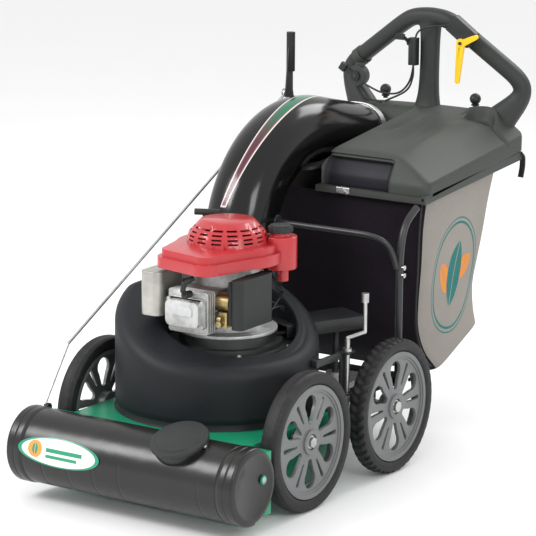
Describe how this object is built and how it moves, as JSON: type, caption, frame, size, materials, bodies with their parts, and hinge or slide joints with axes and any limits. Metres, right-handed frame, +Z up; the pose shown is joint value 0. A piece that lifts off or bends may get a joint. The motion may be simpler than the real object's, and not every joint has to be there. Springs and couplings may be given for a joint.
{
  "type": "leaf vacuum mulcher",
  "caption": "Walk-behind leaf vacuum with a lever-opened nozzle door, engine-driven impeller, arched discharge chute and a slide-out collection bag.",
  "frame": {"origin": "centre of the machine's footprint, on the ground", "axes": "+Z up, -Y towards the nozzle, +Y towards the handle, +X the operator's right seen from the nozzle, which is the machine's left side"},
  "size_m": [0.75, 1.664, 1.203],
  "materials": {
    "green_paint": "gloss",
    "housing_plastic": "matte",
    "chute_plastic": "gloss",
    "cover_plastic": "satin",
    "handle_plastic": "satin",
    "nozzle_plastic": "satin",
    "black_plastic": "matte",
    "black_steel": "satin",
    "bright_steel": "satin",
    "alloy": "matte",
    "cast_iron": "matte",
    "brass": "satin",
    "red_plastic": "gloss",
    "yellow_plastic": "gloss",
    "rim_plastic": "satin",
    "tyre": "matte",
    "belt_rubber": "matte",
    "bag_fabric": "matte"
  },
  "bodies": {
    "chassis": {"deck": "green_paint", "blower_housing": "housing_plastic", "housing_top_plate": "black_steel", "housing_screws": "bright_steel", "discharge_chute": "chute_plastic", "chute_strap": "bright_steel", "rear_frame": "black_steel", "frame_hoop": "black_steel", "frame_uprights": "black_steel", "frame_bolts": "bright_steel", "cover": "cover_plastic", "bag_rails": "cover_plastic", "handle": "handle_plastic", "control_box": "black_plastic", "throttle_clamp": "cover_plastic", "control_cables": "black_plastic", "engine_block": "alloy", "cylinder_head": "alloy", "valve_cover": "alloy", "muffler": "bright_steel", "air_cleaner": "black_plastic", "carburettor": "brass", "shroud": "red_plastic", "recoil_cover": "red_plastic", "fuel_tank": "red_plastic", "spark_plug": "black_plastic", "belt_guard": "black_steel", "drive_belt": "belt_rubber", "gearbox": "alloy", "axle_bearings": "cast_iron"},
    "crank": {"crankshaft": "bright_steel", "flywheel": "cast_iron", "impeller": "black_steel", "engine_pulley": "cast_iron"},
    "wheel_front_left": {"tyre_front_left": "tyre", "rim_front_left": "rim_plastic"},
    "wheel_front_right": {"tyre_front_right": "tyre", "rim_front_right": "rim_plastic"},
    "wheel_rear_left": {"tyre_rear_left": "tyre", "rim_rear_left": "rim_plastic"},
    "wheel_rear_right": {"tyre_rear_right": "tyre", "rim_rear_right": "rim_plastic"},
    "front_axle": {"front_axle": "black_steel", "front_wheel_nuts": "bright_steel"},
    "height_crank": {"height_crank": "bright_steel"},
    "rear_axle": {"rear_axle": "bright_steel"},
    "gearbox_pulley": {"gearbox_pulley": "cast_iron"},
    "nozzle_door": {"nozzle_door": "nozzle_plastic"},
    "port_cap": {"port_cap": "nozzle_plastic"},
    "pull_rod": {"pull_rod": "bright_steel"},
    "door_lever": {"door_lever": "black_steel", "lever_grip": "belt_rubber"},
    "fuel_cap": {"fuel_cap": "black_plastic"},
    "starter_grip": {"starter_grip": "black_plastic"},
    "drive_lever": {"drive_lever": "yellow_plastic"},
    "throttle_lever": {"throttle_lever": "black_plastic"},
    "choke_lever": {"choke_lever": "black_plastic"},
    "knob_left": {"knob_left": "black_plastic"},
    "knob_right": {"knob_right": "black_plastic"},
    "bag": {"bag": "bag_fabric"}
  },
  "joints": [
    {"name": "crankshaft_spin", "type": "hinge", "parent": "chassis", "child": "crank", "pos_m": [0, -0.303, 0.4], "axis": [0, 0, 1], "continuous": true},
    {"name": "front_axle_swing", "type": "hinge", "parent": "chassis", "child": "front_axle", "pos_m": [0, -0.268, 0.165], "axis": [1, 0, 0], "range_deg": [0, 18]},
    {"name": "height_crank_turn", "type": "hinge", "parent": "chassis", "child": "height_crank", "pos_m": [0.286, -0.137, 0.3], "axis": [0, 0, 1], "range_deg": [0, 3240]},
    {"name": "wheel_front_left_spin", "type": "hinge", "parent": "front_axle", "child": "wheel_front_left", "pos_m": [0.336, -0.418, 0.1905], "axis": [1, 0, 0], "continuous": true},
    {"name": "wheel_front_right_spin", "type": "hinge", "parent": "front_axle", "child": "wheel_front_right", "pos_m": [-0.336, -0.418, 0.1905], "axis": [1, 0, 0], "continuous": true},
    {"name": "wheel_rear_left_spin", "type": "hinge", "parent": "chassis", "child": "wheel_rear_left", "pos_m": [0.336, 0.016, 0.1905], "axis": [1, 0, 0], "continuous": true},
    {"name": "wheel_rear_right_spin", "type": "hinge", "parent": "chassis", "child": "wheel_rear_right", "pos_m": [-0.336, 0.016, 0.1905], "axis": [1, 0, 0], "continuous": true},
    {"name": "gearbox_pulley_spin", "type": "hinge", "parent": "chassis", "child": "gearbox_pulley", "pos_m": [0.15, 0.016, 0.408], "axis": [0, 0, 1], "continuous": true},
    {"name": "rear_axle_spin", "type": "hinge", "parent": "chassis", "child": "rear_axle", "pos_m": [0, 0.016, 0.1905], "axis": [1, 0, 0], "continuous": true},
    {"name": "door_swing", "type": "hinge", "parent": "chassis", "child": "nozzle_door", "pos_m": [0, -0.676, 0.154], "axis": [1, 0, 0], "range_deg": [-20, 0]},
    {"name": "rod_hinge", "type": "hinge", "parent": "nozzle_door", "child": "pull_rod", "pos_m": [-0.349, -0.673, 0.236], "axis": [1, 0, 0], "range_deg": [-1, 21.5]},
    {"name": "lever_swing", "type": "hinge", "parent": "chassis", "child": "door_lever", "pos_m": [-0.345, 0.532, 0.9], "axis": [1, 0, 0], "range_deg": [-23.5, 0]},
    {"name": "port_cap_lift", "type": "slide", "parent": "nozzle_door", "child": "port_cap", "axis": [0, -0.3746, 0.9272], "range_m": [0, 0.32]},
    {"name": "fuel_cap_turn", "type": "hinge", "parent": "chassis", "child": "fuel_cap", "pos_m": [0.118, -0.22, 0.705], "axis": [0, 0, 1], "range_deg": [0, 120]},
    {"name": "starter_pull", "type": "slide", "parent": "chassis", "child": "starter_grip", "axis": [0, 0, 1], "range_m": [0, 0.5], "stiffness_N_per_m": 30, "springref_m": -0.15},
    {"name": "drive_lever_swing", "type": "hinge", "parent": "chassis", "child": "drive_lever", "pos_m": [0.129, 0.726, 1.11], "axis": [0, 1, 0], "range_deg": [-25, 0], "stiffness_Nm_per_rad": 0.5, "springref_deg": 17.19},
    {"name": "throttle_lever_swing", "type": "hinge", "parent": "chassis", "child": "throttle_lever", "pos_m": [-0.244, 0.734, 0.978], "axis": [0, 1, 0], "range_deg": [0, 60]},
    {"name": "choke_lever_swing", "type": "hinge", "parent": "chassis", "child": "choke_lever", "pos_m": [-0.055, 0.735, 1.098], "axis": [1, 0, 0], "range_deg": [-45, 0]},
    {"name": "knob_left_turn", "type": "hinge", "parent": "chassis", "child": "knob_left", "pos_m": [0.157, 0.772, 0.94], "axis": [0, 0, 1], "range_deg": [0, 1080]},
    {"name": "knob_right_turn", "type": "hinge", "parent": "chassis", "child": "knob_right", "pos_m": [-0.157, 0.772, 0.94], "axis": [0, 0, 1], "range_deg": [0, 1080]},
    {"name": "bag_slide", "type": "slide", "parent": "chassis", "child": "bag", "axis": [0, 1, 0], "range_m": [0, 0.6]}
  ],
  "couplings": [
    {"joint": "height_crank_turn", "follows": "front_axle_swing", "ratio": 180},
    {"joint": "rear_axle_spin", "follows": "gearbox_pulley_spin", "ratio": 0.0625},
    {"joint": "rod_hinge", "follows": "door_swing", "ratio": -1.03},
    {"joint": "lever_swing", "follows": "door_swing", "ratio": 1.14}
  ]
}
